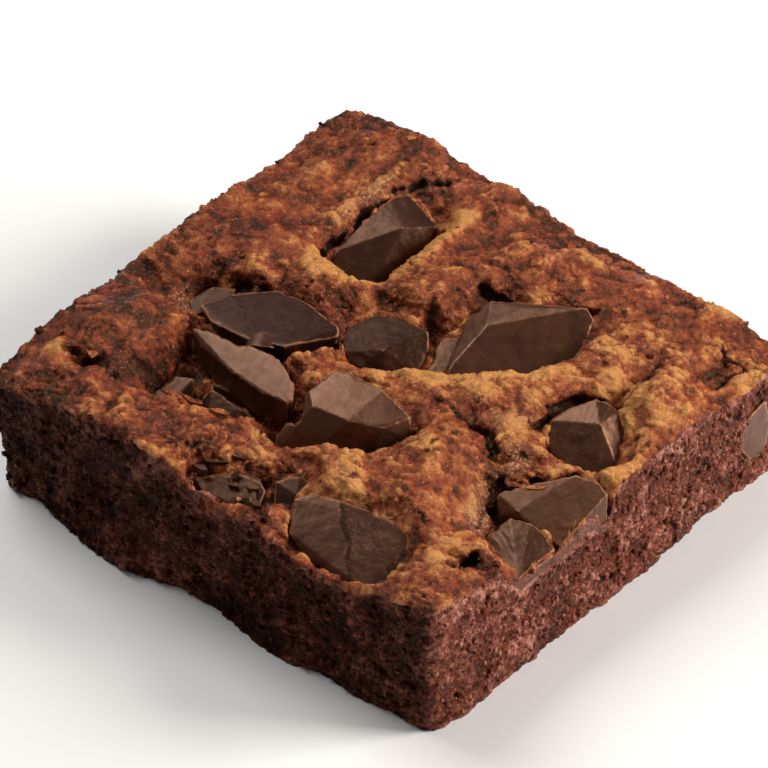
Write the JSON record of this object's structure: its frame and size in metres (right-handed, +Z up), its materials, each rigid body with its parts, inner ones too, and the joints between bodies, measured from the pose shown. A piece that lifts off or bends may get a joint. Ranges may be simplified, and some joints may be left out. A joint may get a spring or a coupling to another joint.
{
  "type": "chocolate brownie",
  "caption": "Square-cut slab of chocolate brownie with a wrinkled baked crust and big broken pieces of dark chocolate sunk in its top.",
  "frame": {"origin": "centre of the bounding box's bottom, on the flat base", "axes": "+X along the longer cut side, +Y along the shorter, away from the front, +Z up through the crust"},
  "size_m": [0.0756, 0.0724, 0.0223],
  "materials": {
    "crumb": "matte",
    "chocolate": "satin"
  },
  "bodies": {
    "root": {"brownie": "crumb", "chunk_back": "chocolate", "chunk_slab": "chocolate", "chunk_left": "chocolate", "chunk_front": "chocolate", "chunk_low": "chocolate", "chunk_wedge": "chocolate", "chunk_right": "chocolate", "chunk_far_right": "chocolate", "chunk_edge": "chocolate", "chunk_edge_small": "chocolate", "chunk_corner": "chocolate", "chunk_sunk": "chocolate", "chunk_leaf": "chocolate", "chunk_flake": "chocolate", "chunk_sliver": "chocolate", "chunk_hidden": "chocolate", "chunk_cut": "chocolate"}
  },
  "joints": []
}
